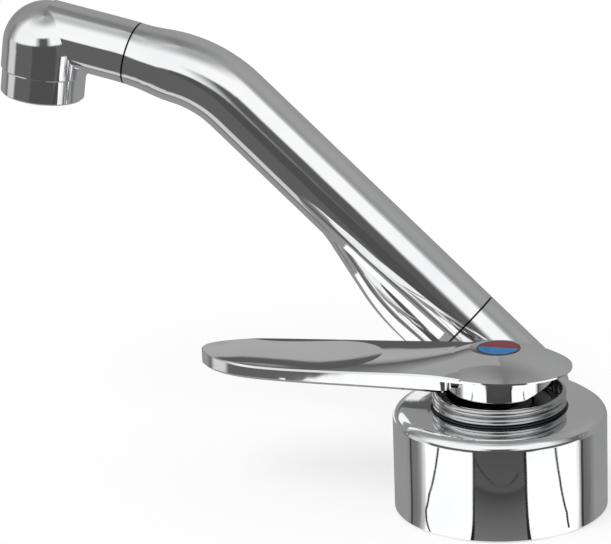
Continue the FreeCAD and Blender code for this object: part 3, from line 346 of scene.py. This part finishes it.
def make_sun():
    """A broad soft light from above and in front."""
    data = bpy.data.lights.new("soft_light", "SUN")
    data.energy = SUN_STRENGTH
    data.angle = SUN_ANGLE
    lamp = add_object("soft_light", data)
    lamp.rotation_euler = (SUN_TILT, 0, SUN_TURN)
    lamp.visible_glossy = False


# Floor, and what only reflections see

def unlit_material(name):
    """A material without its main shader, and its tree."""
    material = bpy.data.materials.new(name)
    material.use_nodes = True
    tree = material.node_tree
    tree.nodes.remove(tree.nodes["Principled BSDF"])
    return material, tree


def set_surface(tree, shader):
    """Gives a material the look of a shader."""
    tree.links.new(shader.outputs[0], tree.nodes["Material Output"].inputs["Surface"])


def floor_material():
    """Plain white, with the tap's soft shadow left in it."""
    material, tree = unlit_material("floor_white")
    rays = add_node(tree, "ShaderNodeLightPath").outputs
    paper = add_node(tree, "ShaderNodeBsdfDiffuse", {"Color": (1, 1, 1, 1)})
    glow = add_node(tree, "ShaderNodeEmission", {"Color": (1, 1, 1, 1)})
    share = arithmetic(tree, "MULTIPLY", rays["Is Camera Ray"], 1 - FLOOR_SHADOW)
    set_surface(tree, add_node(tree, "ShaderNodeMixShader", {
        0: share, 1: paper.outputs[0], 2: glow.outputs[0]}))
    return material


def make_floor():
    """The worktop: white to the camera, and left out of the reflections, which see the rings."""
    mesh = bpy.data.meshes.new("floor")
    corners = [(-1, -1), (1, -1), (1, 1), (-1, 1)]
    mesh.from_pydata([(x * FLOOR_HALF, y * FLOOR_HALF, 0) for x, y in corners], [], [(0, 1, 2, 3)])
    mesh.materials.append(floor_material())
    floor = add_object("floor", mesh)
    floor.visible_glossy = False


def glow_material(name):
    """Glow whose brightness comes from the mesh's own colours."""
    material, tree = unlit_material(name)
    shade = add_node(tree, "ShaderNodeVertexColor", layer_name="brightness")
    set_surface(tree, add_node(tree, "ShaderNodeEmission", {"Color": shade.outputs["Color"]}))
    return material


def screen_material():
    """Glow on the side that faces the camera, and nothing on the other."""
    material = glow_material("screen")
    tree = material.node_tree
    behind = add_node(tree, "ShaderNodeNewGeometry").outputs["Backfacing"]
    clear = add_node(tree, "ShaderNodeBsdfTransparent")
    set_surface(tree, add_node(tree, "ShaderNodeMixShader", {
        0: behind, 1: tree.nodes["Emission"].outputs[0], 2: clear.outputs[0]}))
    return material


def reflected_sheet(name, rows, shades, material):
    """A sheet between rows of points, with a brightness at each, that only reflections see."""
    count = len(rows[0])
    faces = []
    for row in range(len(rows) - 1):
        for place in range(count - 1):
            first = row * count + place
            faces.append((first, first + 1, first + count + 1, first + count))
    mesh = bpy.data.meshes.new(name)
    mesh.from_pydata([point for row in rows for point in row], [], faces)
    layer = mesh.color_attributes.new("brightness", "FLOAT_COLOR", "POINT")
    for place, shade in zip(layer.data, [shade for row in shades for shade in row]):
        place.color = (shade, shade, shade, 1)
    mesh.materials.append(material)
    sheet = add_object(name, mesh)
    sheet.visible_camera = False
    sheet.visible_diffuse = False
    sheet.visible_shadow = False


def paper_point(degrees, reach, lift):
    """Where the base's wall sees the worktop, at an angle on the wall and a reach from it."""
    turn = math.radians(degrees)
    right = Vector((math.cos(SIGHT_TURN), math.sin(SIGHT_TURN), 0))
    front = Vector((math.sin(SIGHT_TURN), -math.cos(SIGHT_TURN), 0))
    across = WALL_R * math.sin(turn) + reach * math.sin(2 * turn)
    ahead = WALL_R * math.cos(turn) + reach * math.cos(2 * turn)
    return right * across + front * ahead + Vector((0, 0, lift))


def make_paper(material):
    """The paper as a fan from the base, each of its lines where one angle of the wall looks."""
    rows = []
    shades = []
    for angles, brightness in PAPER_BANDS:
        rows.append([paper_point(degrees, reach, PAPER_LIFT)
                     for degrees, reach in zip(angles, PAPER_REACH)])
        shades.append([brightness] * len(PAPER_REACH))
    reflected_sheet("paper", rows, shades, material)


def make_folds(material):
    """Narrow dark strips on the paper."""
    for name, (line, shade, half_width) in FOLDS.items():
        rows = []
        for side in (-half_width, half_width):
            rows.append([paper_point(degrees + side, share * WALL_TOP_REACH, FOLD_LIFT)
                         for degrees, share in line])
        reflected_sheet(name, rows, [[shade] * len(line)] * len(rows), material)


def make_band(material):
    """The dark band's own shades, from the wall's foot to its top."""
    rows = []
    for foot, top in BAND_SIDES:
        rows.append([paper_point(foot + (top - foot) * share, share * WALL_TOP_REACH, BAND_LIFT)
                     for share, _ in BAND_SHADES])
    shades = [brightness for _, brightness in BAND_SHADES]
    reflected_sheet("middle_band", rows, [shades] * len(rows), material)


def make_keel_card(material):
    """The flat card under the arm."""
    rows = [[(x, y, KEEL_CARD_Z) for y in KEEL_CARD_Y] for x in KEEL_CARD_X]
    shades = [[KEEL_CARD_SHADE] * len(KEEL_CARD_Y)] * len(rows)
    reflected_sheet("keel_card", rows, shades, material)


def make_lever_screen():
    """The upright card behind the lever."""
    rows = [[(x, LEVER_SCREEN_Y, height) for height, _ in LEVER_SCREEN_SHADES]
            for x in LEVER_SCREEN_X]
    shades = [brightness for _, brightness in LEVER_SCREEN_SHADES]
    reflected_sheet("lever_screen", rows, [shades] * len(rows), screen_material())


# Pieces that stand for parts of the model

def add_piece(name, mesh, body, node):
    """Puts a finer piece in a node's place."""
    piece = add_object(name, mesh)
    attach(piece, body)
    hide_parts(node)
    return piece


def on_upper_edge(radius, height):
    """Whether a point of the shell is on the rounding of its upper edge."""
    by_wall = SHELL_R - EDGE_R - TOLERANCE <= radius <= SHELL_R + TOLERANCE
    return by_wall and height >= SHELL_TOP - EDGE_R - TOLERANCE


def edge_growth(x, y):
    """How much rounder the edge gets: not at all beside the hinge lug, and fully away from it."""
    off_lug = abs(math.atan2(x, y))
    share = min(max((off_lug - LUG_CLEAR[0]) / (LUG_CLEAR[1] - LUG_CLEAR[0]), 0), 1)
    return 1 + (EDGE_GROWTH - 1) * share * share * (3 - 2 * share)


def make_shell():
    """The base shell with its upper edge rounded off further, except beside the hinge lug."""
    mesh = frame["nodes"]["base_shell"].data.copy()
    mesh.name = "rounded_shell"
    normals = [Vector(corner.vector) for corner in mesh.corner_normals]
    for vertex in mesh.vertices:
        x, y, z = vertex.co
        radius = math.hypot(x, y)
        if on_upper_edge(radius, z):
            growth = edge_growth(x, y)
            scale = (SHELL_R + (radius - SHELL_R) * growth) / radius
            vertex.co = (x * scale, y * scale, SHELL_TOP + (z - SHELL_TOP) * growth)
    mesh.normals_split_custom_set(normals)
    return add_piece("rounded_shell", mesh, "swivel_base", "base_shell")


def collar_outline():
    """The collar's outline as radii and heights: the rounded bands, then the stepped bore."""
    outline = []
    for low, high in COLLAR_BANDS:
        for step in range(BAND_STEPS + 1):
            angle = math.pi * step / BAND_STEPS
            height = (low + high) / 2 - (high - low) / 2 * math.cos(angle)
            outline.append((COLLAR_WAIST + BAND_BULGE * math.sin(angle), height))
    return outline + COLLAR_INSIDE


def turned_mesh(name, outline):
    """A ring turned about the vertical axis from an outline of radii and heights."""
    count = len(outline)
    points = []
    faces = []
    for side in range(COLLAR_SIDES):
        angle = 2 * math.pi * side / COLLAR_SIDES
        points += [(radius * math.cos(angle), radius * math.sin(angle), z) for radius, z in outline]
        here = side * count
        there = (side + 1) % COLLAR_SIDES * count
        for place in range(count):
            after = (place + 1) % count
            faces.append((here + place, there + place, there + after, here + after))
    mesh = bpy.data.meshes.new(name)
    mesh.from_pydata(points, [], faces)
    return mesh


def make_collar():
    """The collar as a turned ring with two rounded bands."""
    mesh = turned_mesh("turned_collar", collar_outline())
    mesh.materials.append(frame["nodes"]["collar"].data.materials[0])
    mesh.shade_smooth()
    mesh.set_sharp_from_angle(angle=SHARP_ANGLE)
    return add_piece("turned_collar", mesh, "valve_body", "collar")


# Materials of the tap

def new_material(name):
    """A material with its tree, its main shader and the place on the object."""
    material = bpy.data.materials.new(name)
    material.use_nodes = True
    tree = material.node_tree
    place = add_node(tree, "ShaderNodeTexCoord").outputs["Object"]
    return material, tree, tree.nodes["Principled BSDF"], place


def noise(tree, place, scale, detail=2.0, roughness=0.5, stretch=None):
    """Smooth noise, its grain about 1 / scale metres, pulled out along an axis if asked."""
    if stretch:
        place = add_node(tree, "ShaderNodeMapping", {"Vector": place, "Scale": stretch}).outputs[0]
    made = add_node(tree, "ShaderNodeTexNoise", {
        "Vector": place, "Scale": scale, "Detail": detail, "Roughness": roughness})
    return made.outputs["Fac"]


def tint(tree, cloud, low, high):
    """A colour that drifts between two as a cloud of noise does."""
    return blend_colours(tree, spread(tree, cloud, 0, 1), (*low, 1), (*high, 1))


def set_bump(tree, shader, height, depth):
    """Raises the surface by a height map, up to depth in metres."""
    bump = add_node(tree, "ShaderNodeBump", {"Height": height, "Distance": depth, "Strength": 1.0})
    tree.links.new(bump.outputs[0], shader.inputs["Normal"])


def inside(tree, place, radius, low, high):
    """Nearly 1 inside a radius about the vertical axis and between two heights, and 0 elsewhere."""
    parts = add_node(tree, "ShaderNodeSeparateXYZ", {"Vector": place}).outputs
    flat = add_node(tree, "ShaderNodeCombineXYZ", {"X": parts["X"], "Y": parts["Y"]})
    off_axis = add_node(tree, "ShaderNodeVectorMath", {0: flat.outputs[0]}, operation="LENGTH")
    within = spread(tree, off_axis.outputs["Value"], 1, 0, radius - SOFT_EDGE, radius)
    above = spread(tree, parts["Z"], 0, 1, low, low + SOFT_EDGE)
    below = spread(tree, parts["Z"], 1, 0, high - SOFT_EDGE, high)
    return arithmetic(tree, "MULTIPLY", arithmetic(tree, "MULTIPLY", within, above), below)


def beside_plane(tree, place, point, direction):
    """1 on the plane through a point across a direction, falling to 0 at the seam's half width."""
    offset = add_node(tree, "ShaderNodeVectorMath", {0: place, 1: point}, operation="SUBTRACT")
    along = add_node(tree, "ShaderNodeVectorMath", {0: offset.outputs[0], 1: direction},
                     operation="DOT_PRODUCT")
    size = arithmetic(tree, "ABSOLUTE", along.outputs["Value"])
    return spread(tree, size, 1, 0, SEAM_HALF_W * SEAM_CORE, SEAM_HALF_W)


def darken(tree, colour, mask):
    """Lets a mask take a colour down to the dark grey of the seams and of the painted shade."""
    return blend_colours(tree, mask, colour, (*GRIME_AND_SHADE, 1))


def bright_chrome(name, painted_shade=None, seams=(), plate=BRIGHT_PLATE):
    """Polished chrome plate: a slightly wavy mirror with faint wipe marks and dried water spots.

    A zone of painted shade, as radius and heights, is darkened as if in shadow, and the seams, as
    point and direction, are dark with grime.
    """
    material, tree, shader, place = new_material(name)
    colour = tint(tree, noise(tree, place, scale=60), *plate)
    masks = [beside_plane(tree, place, *seam) for seam in seams]
    # Painted shade: the zone is darkened as if in shadow
    if painted_shade:
        masks.append(inside(tree, place, *painted_shade))
    for mask in masks:
        colour = darken(tree, colour, mask)
    tree.links.new(colour, shader.inputs["Base Color"])
    shader.inputs["Metallic"].default_value = 1
    wipes = noise(tree, place, scale=220, detail=4, roughness=0.6, stretch=WIPE_STRETCH)
    spots = add_node(tree, "ShaderNodeTexVoronoi", {
        "Vector": place, "Scale": SPOT_SCALE, "Randomness": 1})
    spot = spread(tree, spots.outputs["Distance"], SPOT_ROUGHNESS, 0, *SPOT_RIM)
    rough = arithmetic(tree, "ADD", spread(tree, wipes, *PLATE_ROUGHNESS), spot)
    tree.links.new(rough, shader.inputs["Roughness"])
    set_bump(tree, shader, noise(tree, place, scale=70, detail=1), PLATE_WAVE)
    return material


def machined_metal(name, low, high, roughness, painted_shade=None):
    """Turned metal with fine tool marks round the vertical axis and a slightly stained colour."""
    material, tree, shader, place = new_material(name)
    colour = tint(tree, noise(tree, place, scale=120, detail=3), low, high)
    # Painted shade: the zone is darkened as if in shadow
    if painted_shade:
        colour = darken(tree, colour, inside(tree, place, *painted_shade))
    tree.links.new(colour, shader.inputs["Base Color"])
    shader.inputs["Metallic"].default_value = 1
    marks = noise(tree, place, scale=900, stretch=TOOL_MARK_STRETCH)
    rough = spread(tree, marks, *[roughness * share for share in TOOL_MARK_SHARES])
    tree.links.new(rough, shader.inputs["Roughness"])
    set_bump(tree, shader, marks, TOOL_MARK_DEPTH)
    return material


def moulded(name, low, high, roughness, grain, depth):
    """Moulded plastic or rubber: a faintly mottled colour and a fine grain."""
    material, tree, shader, place = new_material(name)
    colour = tint(tree, noise(tree, place, scale=90, detail=3), low, high)
    tree.links.new(colour, shader.inputs["Base Color"])
    skin = noise(tree, place, scale=grain, detail=3, roughness=0.6)
    rough = spread(tree, skin, *[roughness * share for share in GRAIN_SHARES])
    tree.links.new(rough, shader.inputs["Roughness"])
    set_bump(tree, shader, skin, depth)
    return material


def enamel(name, low, high):
    """Enamel inlay with a soft gloss and a faint orange peel."""
    material, tree, shader, place = new_material(name)
    cloud = noise(tree, place, scale=500)
    tree.links.new(tint(tree, cloud, low, high), shader.inputs["Base Color"])
    tree.links.new(spread(tree, cloud, *ENAMEL_ROUGHNESS), shader.inputs["Roughness"])
    shader.inputs["Specular IOR Level"].default_value = ENAMEL_GLOSS
    set_bump(tree, shader, noise(tree, place, scale=900, detail=1), PEEL_DEPTH)
    return material


def make_materials():
    """One material for each material slot of the record, and special ones for some parts."""
    by_slot = {slot: moulded(*recipe) for slot, recipe in MOULDED.items()}
    by_slot["chrome_bright"] = bright_chrome("bright_chrome")
    by_slot["brass_plain"] = machined_metal("plain_brass", *BRASS)
    by_slot["steel_plain"] = machined_metal("plain_steel", *STEEL)
    by_slot["enamel_red"] = enamel("red_enamel", *RED)
    by_slot["enamel_blue"] = enamel("blue_enamel", *BLUE)
    by_part = {
        "upper_slide_ring": by_slot["plastic_dark"],
        "lever_handle": bright_chrome("lever_chrome", LEVER_PAINTED_SHADE),
        # The collar's chrome is painted darker, and its bore carries painted shade
        "turned_collar": bright_chrome("collar_chrome", COLLAR_PAINTED_SHADE, plate=SHADED_COLLAR_PLATE),
        "rounded_shell": bright_chrome("shell_chrome", SHELL_PAINTED_SHADE),
        "arm_knuckle": bright_chrome("knuckle_chrome", seams=[LOWER_SEAM]),
        "spout_tube": bright_chrome("tube_chrome", seams=[LOWER_SEAM, UPPER_SEAM]),
        "outlet_elbow": bright_chrome("elbow_chrome", seams=[UPPER_SEAM]),
        "valve_core": machined_metal("core_brass", *BRASS, CORE_PAINTED_SHADE),
    }
    return by_slot, by_part


def dress(parts, by_slot, by_part):
    """Gives every part its own material, or else that of its slot."""
    for name, part in parts.items():
        for place in part.material_slots:
            place.material = by_part.get(name) or by_slot[place.material.name]


bpy.context.scene.view_settings.view_transform = "Standard"
make_camera()
make_surroundings()
make_sun()
make_floor()
lit_paper = glow_material("paper")
make_paper(lit_paper)
make_folds(lit_paper)
make_band(lit_paper)
make_keel_card(lit_paper)
make_lever_screen()
pieces = {piece.name: piece for piece in (make_shell(), make_collar())}
dress({**frame["nodes"], **pieces}, *make_materials())
